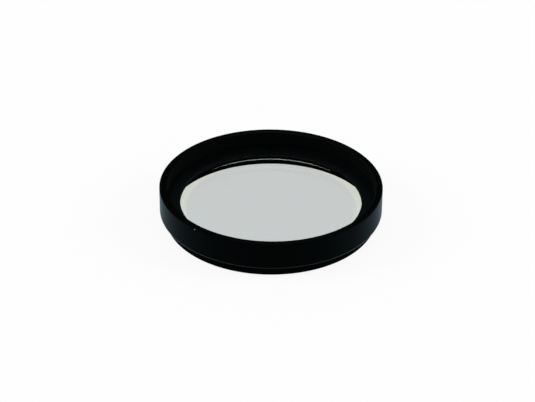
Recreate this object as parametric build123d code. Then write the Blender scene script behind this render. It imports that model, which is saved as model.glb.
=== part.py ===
from build123d import *
import os

# Optical bandpass filter: a coated glass disc held in a turned ring by a threaded retaining ring.
# The filter stands on its male-threaded end. Millimetres, +Z up, origin at the centre of that end face.

# Standard filter thread, the same at both ends
thread_diameter = 35.5
thread_pitch = 0.5
male_root_per_pitch = 0.6134
female_crest_per_pitch = 0.5413

# Turned ring
rim_wall = 1.0
body_height = 4.5
male_thread_length = 1.9
upper_outer_chamfer = 0.12
lower_outer_chamfer = 0.18
rim_edge_break = 0.04
male_end_chamfer = 0.25
male_relief_width = 0.35
male_relief_depth = 0.06
female_relief_width = 0.3
female_relief_depth = 0.1

# Coated glass, smaller in radius than the filter thread by glass_inset
glass_inset = 1.25
glass_thickness = 2.0
glass_bevel = 0.15

# Seat: a ledge under the edge of the glass, open in the middle
seat_height = 1.2
seat_ledge = 1.2
seat_mouth_chamfer = 0.3
glass_radial_clearance = 0.05

# Retaining ring: a thin lip on the glass, with a threaded skirt that runs down beside the glass.
# Its thread is one step smaller than the filter thread, so a ledge stays between the two.
lip_overlap = 1.2
lip_thickness = 0.42
skirt_depth = 0.6
skirt_radial_clearance = 0.1
skirt_end_clearance = 0.12
ring_thread_step = 0.25
ring_thread_clearance = 0.02
ring_sink_depth = 0.06
ring_edge_break = 0.06
notch_count = 2
notch_width = 1.6
notch_depth = 0.25

# Heights, from the seat up
total_height = male_thread_length + body_height
glass_bottom = seat_height
glass_top = glass_bottom + glass_thickness
ring_top = glass_top + lip_thickness
skirt_bottom = glass_top - skirt_depth
ring_bore_floor = skirt_bottom - skirt_end_clearance
thread_ledge = ring_top + ring_sink_depth

# Radii
thread_radius = thread_diameter / 2
body_radius = thread_radius + rim_wall
male_root_radius = thread_radius - male_root_per_pitch * thread_pitch
female_crest_radius = thread_radius - female_crest_per_pitch * thread_pitch
male_relief_radius = male_root_radius - male_relief_depth
female_relief_radius = thread_radius + female_relief_depth
ring_bore_radius = female_crest_radius - ring_thread_step
ring_relief_radius = female_relief_radius - ring_thread_step
glass_radius = thread_radius - glass_inset
pocket_radius = glass_radius + glass_radial_clearance
seat_radius = glass_radius - seat_ledge
ring_inner_radius = glass_radius - lip_overlap
ring_outer_radius = ring_bore_radius - ring_thread_clearance
skirt_inner_radius = glass_radius + skirt_radial_clearance


def turned(points):
    """A solid turned about Z from the points (radius, height) of its half section."""
    with BuildPart() as turning:
        with BuildSketch(Plane.XZ):
            with BuildLine():
                Polyline(*points, close=True)
            make_face()
        revolve(axis=Axis.Z)
    return turning.part


def mount_ring():
    """The outer ring: male thread below, seat and pocket inside, two female threads above them."""
    shoulder = male_thread_length
    thread_start = thread_ledge + female_relief_width
    ring_thread_start = ring_bore_floor + female_relief_width
    outside = [
        (seat_radius + seat_mouth_chamfer, 0),
        (thread_radius - male_end_chamfer, 0),
        (thread_radius, male_end_chamfer),
        (thread_radius, shoulder - male_relief_width),
        (male_relief_radius, shoulder - male_relief_width),
        (male_relief_radius, shoulder),
        (body_radius - lower_outer_chamfer, shoulder),
        (body_radius, shoulder + lower_outer_chamfer),
        (body_radius, total_height - upper_outer_chamfer),
        (body_radius - upper_outer_chamfer, total_height),
    ]
    inside = [
        (female_crest_radius + rim_edge_break, total_height),
        (female_crest_radius, total_height - rim_edge_break),
        (female_crest_radius, thread_start),
        (female_relief_radius, thread_start),
        (female_relief_radius, thread_ledge),
        (ring_bore_radius, thread_ledge),
        (ring_bore_radius, ring_thread_start),
        (ring_relief_radius, ring_thread_start),
        (ring_relief_radius, ring_bore_floor),
        (pocket_radius, ring_bore_floor),
        (pocket_radius, seat_height),
        (seat_radius, seat_height),
        (seat_radius, seat_mouth_chamfer),
    ]
    return turned(outside + inside)


def filter_glass():
    """The coated disc, with a small ground bevel round both faces."""
    return turned([
        (0, glass_bottom),
        (glass_radius - glass_bevel, glass_bottom),
        (glass_radius, glass_bottom + glass_bevel),
        (glass_radius, glass_top - glass_bevel),
        (glass_radius - glass_bevel, glass_top),
        (0, glass_top),
    ])


def retaining_ring():
    """The ring that presses on the glass, with notches in its face for a spanner."""
    blank = turned([
        (ring_inner_radius, glass_top),
        (skirt_inner_radius, glass_top),
        (skirt_inner_radius, skirt_bottom),
        (ring_outer_radius - ring_edge_break, skirt_bottom),
        (ring_outer_radius, skirt_bottom + ring_edge_break),
        (ring_outer_radius, ring_top - ring_edge_break),
        (ring_outer_radius - ring_edge_break, ring_top),
        (ring_inner_radius + ring_edge_break, ring_top),
        (ring_inner_radius, ring_top - ring_edge_break),
    ])
    face_width = ring_outer_radius - ring_inner_radius
    with BuildPart() as ring:
        add(blank)
        with Locations((0, 0, ring_top)):
            with PolarLocations(ring_inner_radius + face_width / 2, notch_count, start_angle=90):
                Box(face_width * 2, notch_width, notch_depth * 2, mode=Mode.SUBTRACT)
    return ring.part


pieces = {
    "mount_ring": mount_ring(),
    "filter_glass": filter_glass(),
    "retaining_ring": retaining_ring(),
}

os.makedirs("parts", exist_ok=True)
for name, piece in pieces.items():
    export_step(piece, "parts/" + name + ".step")
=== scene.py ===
import math

import bmesh
import bpy
from mathutils import Matrix, Vector


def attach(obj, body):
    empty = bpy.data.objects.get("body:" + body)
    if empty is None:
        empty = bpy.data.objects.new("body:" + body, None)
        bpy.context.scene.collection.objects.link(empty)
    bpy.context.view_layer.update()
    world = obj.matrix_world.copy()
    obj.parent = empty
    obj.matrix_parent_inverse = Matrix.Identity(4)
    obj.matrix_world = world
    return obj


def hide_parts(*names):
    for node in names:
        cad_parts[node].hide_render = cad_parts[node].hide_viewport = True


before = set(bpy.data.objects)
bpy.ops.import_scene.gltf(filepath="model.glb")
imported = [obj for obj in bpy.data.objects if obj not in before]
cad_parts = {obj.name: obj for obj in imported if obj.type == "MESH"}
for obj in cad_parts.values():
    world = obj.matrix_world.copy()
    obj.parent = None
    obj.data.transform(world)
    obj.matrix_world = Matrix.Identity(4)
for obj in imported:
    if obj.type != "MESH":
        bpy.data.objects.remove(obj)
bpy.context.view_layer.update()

# Sizes are in millimetres, and a finished mesh is scaled to metres.
MM = 0.001

# Points nearer than this become one.
WELD = 0.001

# An edge bent less than this is shaded smooth.
SMOOTH_ANGLE = math.radians(20)

# A face whose normal has more than this along Z counts as level.
LEVEL_NORMAL = 0.9

# A turned surface is spun as one sector, which is then repeated round the axis.
SECTORS = 12
SECTOR_STEPS = 30

# Filter thread. The starts turn each helix, in whole degrees.
THREAD_PITCH = 0.5
THREAD_RADIUS = 17.75
FLANK_SLOPE = math.tan(math.radians(30))
FLANK_STEPS = 3
MALE_DEPTH = 0.6134 * THREAD_PITCH
MALE_CREST_FLAT = THREAD_PITCH / 8
MALE_THREAD_START = -165
FEMALE_DEPTH = 0.5413 * THREAD_PITCH
FEMALE_CREST_FLAT = THREAD_PITCH / 4
RIM_THREAD_START = -101

# Mount ring
BODY_RADIUS = 18.75
TOTAL_HEIGHT = 6.4
SHOULDER = 1.9
UPPER_CHAMFER = 0.12
LOWER_CHAMFER_HEIGHT = 0.14
LOWER_CHAMFER_DEPTH = 0.06
RIM_EDGE_BREAK = 0.04
MALE_END_CHAMFER = 0.1
MALE_RELIEF_WIDTH = 0.35
MALE_RELIEF_RADIUS = 17.383
FEMALE_RELIEF_WIDTH = 0.3
FEMALE_RELIEF_RADIUS = 17.85
SEAT_HEIGHT = 1.2
SEAT_RADIUS = 15.3
SEAT_MOUTH_CHAMFER = 0.3
POCKET_RADIUS = 16.55

# Glass
GLASS_RADIUS = 16.5
GLASS_TOP = 3.2
GLASS_BEVEL = 0.15

# Retaining ring, and the bore that it screws into
RING_TOP = 3.62
RING_SKIRT_BOTTOM = 2.6
RING_BORE_FLOOR = 2.48
RING_APERTURE_RADIUS = 15.3
RING_SKIRT_RADIUS = 16.6
RING_EDGE_BREAK = 0.06
RING_THREAD_STEP = 0.25
RING_THREAD_CLEARANCE = 0.02
RING_THREAD_END_SLOPE = 2
RING_RELIEF_RADIUS = FEMALE_RELIEF_RADIUS - RING_THREAD_STEP
THREAD_LEDGE = 3.68
NOTCH_WIDTH = 1.6
NOTCH_DEPTH = 0.25
NOTCH_WALL_TOLERANCE = 0.0001

# Places of the materials in the lists that the mount ring and the glass are given
BORE_PAINTED_LIGHT, WALL_FINISH, EDGE_PAINTED_HIGHLIGHT, RIM_PAINTED_SHADE = range(4)
TOP_COATING, BOTTOM_COATING, GROUND_EDGE = range(3)


def thread_rows(crest_flat, depth):
    """Offsets from a crest's centre, in one pitch, of the corners and the steps on the flanks."""
    flank = depth * FLANK_SLOPE
    half_crest = crest_flat / 2
    right = [half_crest + flank * i / FLANK_STEPS for i in range(FLANK_STEPS + 1)]
    left = [-x for x in reversed(right)]
    return left + [0] + right + [THREAD_PITCH / 2]


def thread_radius(height, angle, crest, depth, crest_flat):
    """Radius of a right-hand thread at a height and an angle. Depth is negative inside a bore."""
    phase = height - THREAD_PITCH * angle / (2 * math.pi)
    offset = abs((phase + THREAD_PITCH / 2) % THREAD_PITCH - THREAD_PITCH / 2)
    sunk = (offset - crest_flat / 2) / (abs(depth) * FLANK_SLOPE)
    return crest - depth * min(max(sunk, 0), 1)


def turn_line(bm, points, rise=0):
    """Turns a line of points (radius, height) about Z, rising by so much in the whole turn.

    Gives back the points that it made.
    """
    line = [bm.verts.new((radius, 0, height)) for radius, height in points]
    edges = [bm.edges.new(pair) for pair in zip(line, line[1:])]
    others = set(bm.verts) - set(line)
    sector = 2 * math.pi / SECTORS
    bmesh.ops.spin(
        bm,
        geom=line + edges,
        cent=(0, 0, 0),
        axis=(0, 0, 1),
        dvec=(0, 0, rise / SECTORS / SECTOR_STEPS),
        angle=sector,
        steps=SECTOR_STEPS,
        use_merge=False,
        use_duplicate=False,
    )
    verts = [v for v in bm.verts if v not in others]
    edges = list(dict.fromkeys(e for v in verts for e in v.link_edges))
    faces = list(dict.fromkeys(f for v in verts for f in v.link_faces))
    bmesh.ops.spin(
        bm,
        geom=verts + edges + faces,
        cent=(0, 0, 0),
        axis=(0, 0, 1),
        dvec=(0, 0, rise / SECTORS),
        angle=sector * (SECTORS - 1),
        steps=SECTORS - 1,
        use_merge=False,
        use_duplicate=True,
    )
    return [v for v in bm.verts if v not in others]


def add_turned(bm, points):
    """A surface turned about Z from a line of points (radius, height)."""
    bmesh.ops.remove_doubles(bm, verts=turn_line(bm, points), dist=WELD)


def add_thread(bm, crest, depth, crest_flat, bottom, top, end_limit=None, start=0):
    """A helical thread between two heights, left open at both ends.

    end_limit gives the chamfer's radius at a height, and start turns the helix by whole degrees.
    """
    # The spare turns cover both ends, as the line rises by one pitch on its way round.
    first = math.floor(bottom / THREAD_PITCH) - 2
    last = math.ceil(top / THREAD_PITCH) + 1
    rows = [
        THREAD_PITCH * turn + offset
        for turn in range(first, last)
        for offset in thread_rows(crest_flat, abs(depth))
    ]
    line = [(thread_radius(z, 0, crest, depth, crest_flat), z) for z in rows]
    made = turn_line(bm, line, THREAD_PITCH)
    for v in made:
        angle = math.atan2(v.co.y, v.co.x)
        height = min(max(v.co.z, bottom), top)
        if height != v.co.z:
            radius = thread_radius(height, angle, crest, depth, crest_flat)
        else:
            radius = math.hypot(v.co.x, v.co.y)
        if end_limit:
            radius = end_limit(height, radius)
        angle += math.radians(start)
        v.co = (radius * math.cos(angle), radius * math.sin(angle), height)
    bmesh.ops.remove_doubles(bm, verts=made, dist=WELD)


def add_flat_face(bm, height, radius):
    """Widens or narrows a thread's open end to a circle, where it welds to the next surface."""
    ends = [
        edge
        for edge in bm.edges
        if edge.is_boundary
        and all(abs(v.co.z - height) < WELD for v in edge.verts)
        and any(abs(v.co.xy.length - radius) > WELD for v in edge.verts)
    ]
    for item in bmesh.ops.extrude_edge_only(bm, edges=ends)["geom"]:
        if isinstance(item, bmesh.types.BMVert):
            item.co.xy = item.co.xy.normalized() * radius


def finish_piece(bm, name, materials, node):
    """Scales the mesh to metres, turns its faces outwards and puts it in the place of its node."""
    bmesh.ops.remove_doubles(bm, verts=bm.verts, dist=WELD)
    bmesh.ops.dissolve_degenerate(bm, edges=bm.edges, dist=WELD)
    bmesh.ops.recalc_face_normals(bm, faces=bm.faces)
    bmesh.ops.scale(bm, vec=(MM, MM, MM), verts=bm.verts)
    for face in bm.faces:
        face.smooth = True
    for edge in bm.edges:
        edge.smooth = len(edge.link_faces) == 2 and edge.calc_face_angle(0) < SMOOTH_ANGLE
    mesh = bpy.data.meshes.new(name)
    bm.to_mesh(mesh)
    bm.free()
    for material in materials:
        mesh.materials.append(material)
    piece = bpy.data.objects.new(name, mesh)
    bpy.context.scene.collection.objects.link(piece)
    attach(piece, "root")
    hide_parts(node)


def male_end(height, radius):
    """The lead-in chamfer of the male thread."""
    return min(radius, THREAD_RADIUS - MALE_END_CHAMFER + height)


def rim_edge(height, radius):
    """The broken edge where the female thread meets the rim."""
    crest = THREAD_RADIUS - FEMALE_DEPTH
    return max(radius, crest + RIM_EDGE_BREAK - (TOTAL_HEIGHT - height))


def ring_ends(height, radius):
    """The broken edges of the retaining ring's thread."""
    root = THREAD_RADIUS - RING_THREAD_STEP - RING_THREAD_CLEARANCE - MALE_DEPTH
    to_end = min(height - RING_SKIRT_BOTTOM, RING_TOP - height)
    return min(radius, root + RING_THREAD_END_SLOPE * to_end)


def mount_ring_finish(face):
    """Which finish a face of the mount ring takes. The wall's finish covers its upper chamfer.
    The rim's finish is a darker copy as painted shade, the bore's a lighter copy as painted light,
    and the lower chamfer's a lighter, shinier copy as a painted highlight.
    """
    middle = face.calc_center_median()
    if middle.z > TOTAL_HEIGHT - WELD:
        return RIM_PAINTED_SHADE
    if middle.xy.length < BODY_RADIUS - UPPER_CHAMFER or abs(face.normal.z) > LEVEL_NORMAL:
        return BORE_PAINTED_LIGHT
    return WALL_FINISH if middle.z > SHOULDER + LOWER_CHAMFER_HEIGHT else EDGE_PAINTED_HIGHLIGHT


def glass_finish(face):
    """Which finish a face of the glass takes."""
    if abs(face.normal.z) < LEVEL_NORMAL:
        return GROUND_EDGE
    low = face.calc_center_median().z < GLASS_TOP - GLASS_BEVEL
    return BOTTOM_COATING if low else TOP_COATING


def build_mount_ring(materials):
    """The outer ring with its male thread, the glass pocket and the two female threads."""
    bm = bmesh.new()
    male_top = SHOULDER - MALE_RELIEF_WIDTH
    thread_start = THREAD_LEDGE + FEMALE_RELIEF_WIDTH
    ring_thread_start = RING_BORE_FLOOR + FEMALE_RELIEF_WIDTH
    female_crest = THREAD_RADIUS - FEMALE_DEPTH
    add_thread(
        bm,
        THREAD_RADIUS,
        MALE_DEPTH,
        MALE_CREST_FLAT,
        0,
        male_top,
        male_end,
        MALE_THREAD_START,
    )
    add_thread(
        bm,
        female_crest,
        -FEMALE_DEPTH,
        FEMALE_CREST_FLAT,
        thread_start,
        TOTAL_HEIGHT,
        rim_edge,
        RIM_THREAD_START,
    )
    add_thread(
        bm,
        female_crest - RING_THREAD_STEP,
        -FEMALE_DEPTH,
        FEMALE_CREST_FLAT,
        ring_thread_start,
        THREAD_LEDGE,
    )
    add_turned(bm, [
        (MALE_RELIEF_RADIUS, male_top),
        (MALE_RELIEF_RADIUS, SHOULDER),
        (BODY_RADIUS - LOWER_CHAMFER_DEPTH, SHOULDER),
        (BODY_RADIUS, SHOULDER + LOWER_CHAMFER_HEIGHT),
        (BODY_RADIUS, TOTAL_HEIGHT - UPPER_CHAMFER),
        (BODY_RADIUS - UPPER_CHAMFER, TOTAL_HEIGHT),
    ])
    add_turned(bm, [
        (FEMALE_RELIEF_RADIUS, thread_start),
        (FEMALE_RELIEF_RADIUS, THREAD_LEDGE),
    ])
    add_turned(bm, [
        (RING_RELIEF_RADIUS, ring_thread_start),
        (RING_RELIEF_RADIUS, RING_BORE_FLOOR),
        (POCKET_RADIUS, RING_BORE_FLOOR),
        (POCKET_RADIUS, SEAT_HEIGHT),
        (SEAT_RADIUS, SEAT_HEIGHT),
        (SEAT_RADIUS, SEAT_MOUTH_CHAMFER),
        (SEAT_RADIUS + SEAT_MOUTH_CHAMFER, 0),
    ])
    add_flat_face(bm, 0, SEAT_RADIUS + SEAT_MOUTH_CHAMFER)
    add_flat_face(bm, male_top, MALE_RELIEF_RADIUS)
    add_flat_face(bm, ring_thread_start, RING_RELIEF_RADIUS)
    add_flat_face(bm, THREAD_LEDGE, FEMALE_RELIEF_RADIUS)
    add_flat_face(bm, thread_start, FEMALE_RELIEF_RADIUS)
    add_flat_face(bm, TOTAL_HEIGHT, BODY_RADIUS - UPPER_CHAMFER)
    for face in bm.faces:
        face.normal_update()
        face.material_index = mount_ring_finish(face)
    finish_piece(bm, "Turned_mount_ring", materials, "mount_ring")


def build_glass(materials):
    """The coated disc. Its top and bottom are polished, and its edge and bevels are ground."""
    bm = bmesh.new()
    add_turned(bm, [
        (0, SEAT_HEIGHT),
        (GLASS_RADIUS - GLASS_BEVEL, SEAT_HEIGHT),
        (GLASS_RADIUS, SEAT_HEIGHT + GLASS_BEVEL),
        (GLASS_RADIUS, GLASS_TOP - GLASS_BEVEL),
        (GLASS_RADIUS - GLASS_BEVEL, GLASS_TOP),
        (0, GLASS_TOP),
    ])
    bmesh.ops.remove_doubles(bm, verts=bm.verts, dist=WELD)
    for face in bm.faces:
        face.normal_update()
        face.material_index = glass_finish(face)
    finish_piece(bm, "Coated_glass_disc", materials, "filter_glass")


def around_notch(bm, side):
    """The faces round a notch, with their edges and points, so that a cut stays on its side."""
    middles = [(face, face.calc_center_median()) for face in bm.faces]
    faces = [f for f, middle in middles if side * middle.y > 0 and abs(middle.x) < NOTCH_WIDTH]
    edges = dict.fromkeys(edge for face in faces for edge in face.edges)
    verts = dict.fromkeys(vert for face in faces for vert in face.verts)
    return [*verts, *edges, *faces]


def cut_notch(bm, side):
    """A spanner notch in the retaining ring's top face, on the +Y or the -Y side."""
    floor = RING_TOP - NOTCH_DEPTH
    half = NOTCH_WIDTH / 2
    cuts = [((x, 0, 0), (1, 0, 0)) for x in (-half, half)] + [((0, 0, floor), (0, 0, 1))]
    for place, normal in cuts:
        bmesh.ops.bisect_plane(
            bm, geom=around_notch(bm, side), dist=WELD, plane_co=place, plane_no=normal
        )
    middles = [(face, face.calc_center_median()) for face in bm.faces]
    gone = [f for f, c in middles if side * c.y > 0 and abs(c.x) < half and c.z > floor]
    bmesh.ops.delete(bm, geom=gone, context="FACES")
    for x in (-half, half):
        wall = [
            edge
            for edge in bm.edges
            if edge.is_boundary and all(abs(v.co.x - x) < NOTCH_WALL_TOLERANCE for v in edge.verts)
        ]
        ends = [v for edge in wall for v in edge.verts]
        ends = [v for v in dict.fromkeys(ends) if ends.count(v) == 1]
        foot = bm.edges.new(ends)
        bmesh.ops.edgeloop_fill(bm, edges=wall + [foot])
    bmesh.ops.edgeloop_fill(bm, edges=[edge for edge in bm.edges if edge.is_boundary])


def build_retaining_ring(material):
    """The thin threaded ring that presses on the glass."""
    bm = bmesh.new()
    add_thread(
        bm,
        THREAD_RADIUS - RING_THREAD_STEP - RING_THREAD_CLEARANCE,
        MALE_DEPTH,
        MALE_CREST_FLAT,
        RING_SKIRT_BOTTOM,
        RING_TOP,
        ring_ends,
    )
    add_turned(bm, [
        (RING_SKIRT_RADIUS, RING_SKIRT_BOTTOM),
        (RING_SKIRT_RADIUS, GLASS_TOP),
        (RING_APERTURE_RADIUS, GLASS_TOP),
        (RING_APERTURE_RADIUS, RING_TOP - RING_EDGE_BREAK),
        (RING_APERTURE_RADIUS + RING_EDGE_BREAK, RING_TOP),
    ])
    add_flat_face(bm, RING_SKIRT_BOTTOM, RING_SKIRT_RADIUS)
    add_flat_face(bm, RING_TOP, RING_APERTURE_RADIUS + RING_EDGE_BREAK)
    bmesh.ops.remove_doubles(bm, verts=bm.verts, dist=WELD)
    for side in (-1, 1):
        cut_notch(bm, side)
    finish_piece(
        bm, "Threaded_retaining_ring", [material], "retaining_ring"
    )


# A noise is (scale, detail) and a bump is (strength, distance in metres).

# Anodised finish: turning marks, a blasted grain and the colours of the shine
MARK_NOISE = (9000, 3.0)
GRAIN_NOISE = (14000, 2.0)
MARK_BUMP = (0.12, 0.00002)
ROUGHNESS_SPREAD = 0.06
SHEEN_ROUGHNESS = 0.33
SHEEN_TINT = (0.35, 0.82, 1.0)
NEUTRAL_SHINE = (1, 1, 1)
COLD_SHINE = (0.55, 0.85, 1.0)
PALE_SHINE = (0.8, 1.0, 1.0)

# A speck of bare metal on the rim's outer edge
NICK_RADIUS = 0.12 * MM
NICK_PLACE = (-12.36 * MM, -14.1 * MM, 6.33 * MM)
BARE_METAL = (0.3, 0.3, 0.29)

# Interference coating. Its mirror takes a painted cream reflection between two distances from a
# centre, and each share is the part of the light that gets through.
GLASS_IOR = 1.52
PAINTED_CREAM_CENTRE = (0, -1.8 * MM, GLASS_TOP * MM)
PAINTED_CREAM_CHANGE = (13.7 * MM, 15.0 * MM)
TOP_MIRROR = (0.774, 0.787, 0.747)
TOP_PAINTED_CREAM_REFLECTION = (0.9, 0.913, 0.806)
TOP_THROUGH = (0.55, 0.6, 0.6)
TOP_SHARE = 0.3
BOTTOM_MIRROR = (0.9, 0.9, 0.86)
BOTTOM_THROUGH = (0.15, 0.3, 0.6)
BOTTOM_SHARE = 0.4

# Ground edge of the glass, with a painted glow above a height: emission that stands in for light
# led inside the glass
GRIT_NOISE = (16000, 3.0)
GRIT_BUMP = (0.3, 0.00001)
GROUND_GLASS = (0.08, 0.095, 0.085)
GROUND_ROUGHNESS = 0.6
PAINTED_GLOW_COLOUR = (0.92, 1.0, 0.93)
PAINTED_GLOW_STRENGTH = 2.1
PAINTED_GLOW_START = 2.3 * MM
PAINTED_GLOW_FULL = 2.5 * MM


def new_material(name):
    """An empty node material, with its tree and its output node."""
    material = bpy.data.materials.new(name)
    material.use_nodes = True
    tree = material.node_tree
    tree.nodes.clear()
    return material, tree, tree.nodes.new("ShaderNodeOutputMaterial")


def add_node(tree, kind, **settings):
    """A node of a kind, with its settings."""
    node = tree.nodes.new(kind)
    for name, value in settings.items():
        setattr(node, name, value)
    return node


def math_node(tree, operation, first, second):
    """A Math node on two sockets or numbers."""
    node = add_node(tree, "ShaderNodeMath", operation=operation)
    for socket, value in zip(node.inputs, (first, second)):
        if isinstance(value, bpy.types.NodeSocket):
            tree.links.new(value, socket)
        else:
            socket.default_value = value
    return node.outputs[0]


def mix_shaders(tree, factor, first, second):
    """A shader that goes from the first to the second. The factor is a socket or a number."""
    mix = add_node(tree, "ShaderNodeMixShader")
    if isinstance(factor, bpy.types.NodeSocket):
        tree.links.new(factor, mix.inputs[0])
    else:
        mix.inputs[0].default_value = factor
    tree.links.new(first, mix.inputs[1])
    tree.links.new(second, mix.inputs[2])
    return mix.outputs[0]


def mix_colours(tree, factor, first, second):
    """A colour that goes from the first to the second as the factor goes from 0 to 1."""
    mix = add_node(tree, "ShaderNodeMix", data_type="RGBA")
    tree.links.new(factor, mix.inputs["Factor"])
    mix.inputs["A"].default_value = (*first, 1)
    mix.inputs["B"].default_value = (*second, 1)
    return mix.outputs["Result"]


def place_on_object(tree):
    """The Object coordinates of a point, in metres."""
    return add_node(tree, "ShaderNodeTexCoord").outputs["Object"]


def distance_from(tree, vector, centre):
    """How far a point is from a centre, which is given in metres."""
    node = add_node(tree, "ShaderNodeVectorMath", operation="DISTANCE")
    tree.links.new(vector, node.inputs[0])
    node.inputs[1].default_value = centre
    return node.outputs["Value"]


def ramp(tree, value, start, end, low=0.0, high=1.0):
    """Goes smoothly from low to high as a value goes from start to end."""
    node = add_node(tree, "ShaderNodeMapRange", interpolation_type="SMOOTHSTEP")
    node.inputs["From Min"].default_value = start
    node.inputs["From Max"].default_value = end
    node.inputs["To Min"].default_value = low
    node.inputs["To Max"].default_value = high
    tree.links.new(value, node.inputs["Value"])
    return node.outputs[0]


def turned_coordinates(tree, place):
    """The radius and the height of a point, for a pattern that runs round as a lathe's marks do."""
    parts = add_node(tree, "ShaderNodeSeparateXYZ")
    tree.links.new(place, parts.inputs[0])
    squares = [math_node(tree, "MULTIPLY", parts.outputs[i], parts.outputs[i]) for i in (0, 1)]
    radius = math_node(tree, "SQRT", math_node(tree, "ADD", *squares), 0)
    joined = add_node(tree, "ShaderNodeCombineXYZ")
    tree.links.new(radius, joined.inputs[0])
    tree.links.new(parts.outputs[2], joined.inputs[1])
    return joined.outputs[0]


def noise(tree, vector, scale, detail):
    """A noise pattern."""
    node = add_node(tree, "ShaderNodeTexNoise")
    node.inputs["Scale"].default_value = scale
    node.inputs["Detail"].default_value = detail
    tree.links.new(vector, node.inputs["Vector"])
    return node.outputs[0]


def add_bump(tree, height, strength, distance, shader):
    """Fine relief on a shader from a height pattern."""
    bump = add_node(tree, "ShaderNodeBump")
    bump.inputs["Strength"].default_value = strength
    bump.inputs["Distance"].default_value = distance
    tree.links.new(height, bump.inputs["Height"])
    tree.links.new(bump.outputs[0], shader.inputs["Normal"])


def anodised_material(
    name, colour, roughness, specular, grooved=0.0, sheen=0.0, tint=NEUTRAL_SHINE, nick=None
):
    """Black anodised metal: fine turning marks and a faint blasted grain.

    grooved spreads the shine across the turning marks, sheen is the shine at a glance, tint is
    the colour of the shine, and nick is the place of a speck of bare metal.
    """
    material, tree, output = new_material(name)
    place = place_on_object(tree)
    marks = noise(tree, turned_coordinates(tree, place), *MARK_NOISE)
    grain = noise(tree, place, *GRAIN_NOISE)
    spread = add_node(tree, "ShaderNodeMapRange")
    spread.inputs["To Min"].default_value = roughness - ROUGHNESS_SPREAD
    spread.inputs["To Max"].default_value = roughness + ROUGHNESS_SPREAD
    tree.links.new(marks, spread.inputs["Value"])
    shader = add_node(tree, "ShaderNodeBsdfPrincipled")
    shader.inputs["Base Color"].default_value = (*colour, 1)
    if nick:
        bare = ramp(tree, distance_from(tree, place, nick), NICK_RADIUS, NICK_RADIUS / 2)
        spotted = mix_colours(tree, bare, colour, BARE_METAL)
        tree.links.new(spotted, shader.inputs["Base Color"])
    shader.inputs["Specular IOR Level"].default_value = specular
    shader.inputs["Specular Tint"].default_value = (*tint, 1)
    shader.inputs["Anisotropic"].default_value = grooved
    shader.inputs["Sheen Weight"].default_value = sheen
    shader.inputs["Sheen Roughness"].default_value = SHEEN_ROUGHNESS
    shader.inputs["Sheen Tint"].default_value = (*SHEEN_TINT, 1)
    around = add_node(tree, "ShaderNodeTangent", direction_type="RADIAL", axis="Z")
    tree.links.new(around.outputs[0], shader.inputs["Tangent"])
    tree.links.new(spread.outputs[0], shader.inputs["Roughness"])
    add_bump(tree, math_node(tree, "ADD", marks, grain), *MARK_BUMP, shader)
    tree.links.new(shader.outputs[0], output.inputs["Surface"])
    return material


def coated_face_material(name, mirror_colour, through_colour, share, painted_cream_colour=None):
    """A hard interference coating: most light comes back, and a share of it gets through.

    The colour given for the edge is a painted reflection: the cream that the mirror takes towards
    the edge of the glass.
    """
    material, tree, output = new_material(name)
    mirror = add_node(tree, "ShaderNodeBsdfGlossy")
    mirror.inputs["Color"].default_value = (*mirror_colour, 1)
    mirror.inputs["Roughness"].default_value = 0.0
    # Painted reflection: the mirror colour turns cream towards the edge of the glass.
    if painted_cream_colour:
        away = distance_from(tree, place_on_object(tree), PAINTED_CREAM_CENTRE)
        painted_cream_mask = ramp(tree, away, *PAINTED_CREAM_CHANGE)
        mirror_with_painted_cream = mix_colours(tree, painted_cream_mask, mirror_colour, painted_cream_colour)
        tree.links.new(mirror_with_painted_cream, mirror.inputs["Color"])
    through = add_node(tree, "ShaderNodeBsdfRefraction")
    through.inputs["Color"].default_value = (*through_colour, 1)
    through.inputs["Roughness"].default_value = 0.0
    through.inputs["IOR"].default_value = GLASS_IOR
    mixed = mix_shaders(tree, share, mirror.outputs[0], through.outputs[0])
    tree.links.new(mixed, output.inputs["Surface"])
    return material


def ground_edge_painted_glow_material():
    """The glass's ground edge: matt, and slightly green.

    Its upper part carries a painted glow: an emission that stands in for light that runs inside the
    glass and comes out there.
    """
    material, tree, output = new_material("Ground_glass_edge_painted_glow")
    place = place_on_object(tree)
    shader = add_node(tree, "ShaderNodeBsdfPrincipled")
    shader.inputs["Base Color"].default_value = (*GROUND_GLASS, 1)
    shader.inputs["Roughness"].default_value = GROUND_ROUGHNESS
    parts = add_node(tree, "ShaderNodeSeparateXYZ")
    tree.links.new(place, parts.inputs[0])
    # Painted glow: the edge emits light above a height, standing in for light led inside the glass.
    painted_glow = ramp(tree, parts.outputs[2], PAINTED_GLOW_START, PAINTED_GLOW_FULL, 0.0, PAINTED_GLOW_STRENGTH)
    shader.inputs["Emission Color"].default_value = (*PAINTED_GLOW_COLOUR, 1)
    tree.links.new(painted_glow, shader.inputs["Emission Strength"])
    add_bump(tree, noise(tree, place, *GRIT_NOISE), *GRIT_BUMP, shader)
    tree.links.new(shader.outputs[0], output.inputs["Surface"])
    return material


# Stage, in metres and watts
FLOOR_HALF_SIZE = 3.0
FLOOR_GREY = (0.86, 0.86, 0.86)
FLOOR_WHITE_SHARE = 0.9
WORLD_LIGHT = 0.6
WORLD_SEEN = 1.0
SOFTBOX_SIZE = 0.4
SOFTBOX_SIDE = 0.7
SOFTBOX_HEIGHT = 0.45
LEFT_POWER = 2.8
RIGHT_POWER = 3.2


def seen_directly(tree):
    """1 for rays from the camera, a mirror or glass, and 0 for light that falls on the object."""
    rays = add_node(tree, "ShaderNodeLightPath")
    camera = rays.outputs["Is Camera Ray"]
    either = math_node(tree, "MAXIMUM", camera, rays.outputs["Is Glossy Ray"])
    return math_node(tree, "MAXIMUM", either, rays.outputs["Is Transmission Ray"])


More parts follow.
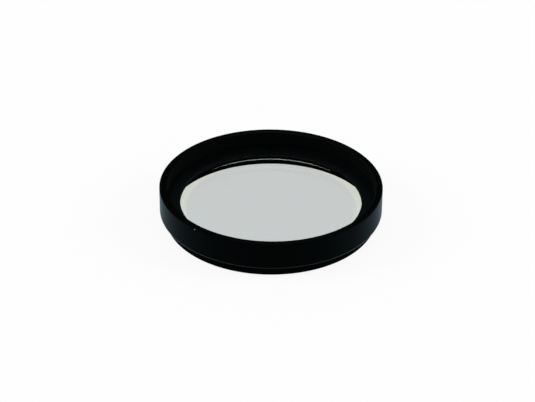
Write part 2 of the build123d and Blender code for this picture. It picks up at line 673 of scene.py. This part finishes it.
def build_floor():
    """A pale floor, which shows white and keeps a soft shadow.

    From below it is clear, so that the underside of the filter shows.
    """
    material, tree, output = new_material("Pale_floor")
    matt = add_node(tree, "ShaderNodeBsdfDiffuse")
    matt.inputs["Color"].default_value = (*FLOOR_GREY, 1)
    white = add_node(tree, "ShaderNodeEmission")
    share = math_node(tree, "MULTIPLY", seen_directly(tree), FLOOR_WHITE_SHARE)
    pale = mix_shaders(tree, share, matt.outputs[0], white.outputs[0])
    side = add_node(tree, "ShaderNodeNewGeometry")
    clear = add_node(tree, "ShaderNodeBsdfTransparent")
    one_sided = mix_shaders(tree, side.outputs["Backfacing"], pale, clear.outputs[0])
    tree.links.new(one_sided, output.inputs["Surface"])
    bm = bmesh.new()
    bmesh.ops.create_grid(bm, x_segments=1, y_segments=1, size=FLOOR_HALF_SIZE)
    mesh = bpy.data.meshes.new("Floor")
    bm.to_mesh(mesh)
    bm.free()
    mesh.materials.append(material)
    floor = bpy.data.objects.new("Floor", mesh)
    bpy.context.scene.collection.objects.link(floor)


def build_world():
    """Even white surroundings: white where they are seen, and softer as light on the object."""
    world = bpy.data.worlds.new("Studio")
    bpy.context.scene.world = world
    world.use_nodes = True
    tree = world.node_tree
    background = tree.nodes["Background"]
    background.inputs["Color"].default_value = (1, 1, 1, 1)
    level = add_node(tree, "ShaderNodeMapRange")
    level.inputs["To Min"].default_value = WORLD_LIGHT
    level.inputs["To Max"].default_value = WORLD_SEEN
    tree.links.new(seen_directly(tree), level.inputs["Value"])
    tree.links.new(level.outputs[0], background.inputs["Strength"])


def add_softbox(name, side, power):
    """A square area lamp on the left (-1) or the right (1), which looks at the object."""
    lamp = bpy.data.lights.new(name, "AREA")
    lamp.size = SOFTBOX_SIZE
    lamp.energy = power
    box = bpy.data.objects.new(name, lamp)
    box.location = (side * SOFTBOX_SIDE, 0.0, SOFTBOX_HEIGHT)
    box.rotation_euler = (-box.location).to_track_quat("-Z", "Y").to_euler()
    bpy.context.scene.collection.objects.link(box)


# Camera at the photograph's viewing angle. It looks at a point on the axis, at a height of
# CAMERA_AIM, and the shift sets the part as far off the middle as in the photograph.
CAMERA_DISTANCE = 0.3375
CAMERA_ELEVATION = math.radians(31.78)
CAMERA_ROLL = math.radians(0.463)
CAMERA_LENS = 134.6
CAMERA_SENSOR = 36
CAMERA_AIM = 3.13 * MM
CAMERA_CLIP_START = 0.01
IMAGE_WIDTH = 535
CENTRE_OFFSET_PIXELS = 3.42


def build_camera():
    """The camera, aimed at the filter from the front and above."""
    data = bpy.data.cameras.new("Camera")
    data.lens = CAMERA_LENS
    data.sensor_width = CAMERA_SENSOR
    data.shift_x = -CENTRE_OFFSET_PIXELS / IMAGE_WIDTH
    data.clip_start = CAMERA_CLIP_START
    camera = bpy.data.objects.new("Camera", data)
    centre = Vector((0, 0, CAMERA_AIM))
    back = Vector((0, -math.cos(CAMERA_ELEVATION), math.sin(CAMERA_ELEVATION)))
    tilt = Matrix.Rotation(math.pi / 2 - CAMERA_ELEVATION, 4, "X")
    roll = Matrix.Rotation(CAMERA_ROLL, 4, "Z")
    camera.matrix_world = Matrix.Translation(centre + CAMERA_DISTANCE * back) @ tilt @ roll
    bpy.context.scene.collection.objects.link(camera)
    bpy.context.scene.camera = camera


# Bore and inner faces: a lighter copy of the anodise, whose colour paints light into the shaded
# inside.
bore_painted_light_finish = anodised_material(
    "Black_anodised_bore_painted_light",
    (0.002, 0.0031, 0.0028),
    roughness=0.7,
    specular=0.012,
    grooved=0.9,
    tint=COLD_SHINE,
)
# Rim's top face: a darker copy of the anodise, whose colour paints shade onto the face that the
# light falls on most.
rim_painted_shade_finish = anodised_material(
    "Black_anodised_rim_painted_shade",
    (0.0003, 0.0005, 0.0004),
    roughness=0.7,
    specular=0.008,
    grooved=0.95,
    tint=COLD_SHINE,
)
wall_finish = anodised_material(
    "Satin_black_anodised",
    (0.0004, 0.0006, 0.0006),
    roughness=0.34,
    specular=0.005,
    sheen=0.22,
    nick=NICK_PLACE,
)
# Lower chamfer: shinier than the wall, which reflects for real, and lighter in colour as a painted
# highlight line.
edge_painted_highlight_finish = anodised_material(
    "Shiny_black_edge_painted_highlight",
    (0.002, 0.003, 0.003),
    roughness=0.3,
    specular=0.06,
    tint=PALE_SHINE,
)
retainer_finish = anodised_material(
    "Black_anodised_retainer",
    (0.0015, 0.0024, 0.0026),
    roughness=0.7,
    specular=0.035,
    grooved=0.97,
    tint=COLD_SHINE,
)
# The top coating's mirror carries a painted cream reflection towards its edge.
top_coating = coated_face_material(
    "Interference_coated_top_painted_cream", TOP_MIRROR, TOP_THROUGH, TOP_SHARE, TOP_PAINTED_CREAM_REFLECTION
)
bottom_coating = coated_face_material(
    "Interference_coated_bottom", BOTTOM_MIRROR, BOTTOM_THROUGH, BOTTOM_SHARE
)
build_mount_ring([bore_painted_light_finish, wall_finish, edge_painted_highlight_finish, rim_painted_shade_finish])
build_glass([top_coating, bottom_coating, ground_edge_painted_glow_material()])
build_retaining_ring(retainer_finish)
build_floor()
build_world()
add_softbox("Left_softbox", -1, LEFT_POWER)
add_softbox("Right_softbox", 1, RIGHT_POWER)
build_camera()
bpy.context.scene.view_settings.view_transform = "Standard"
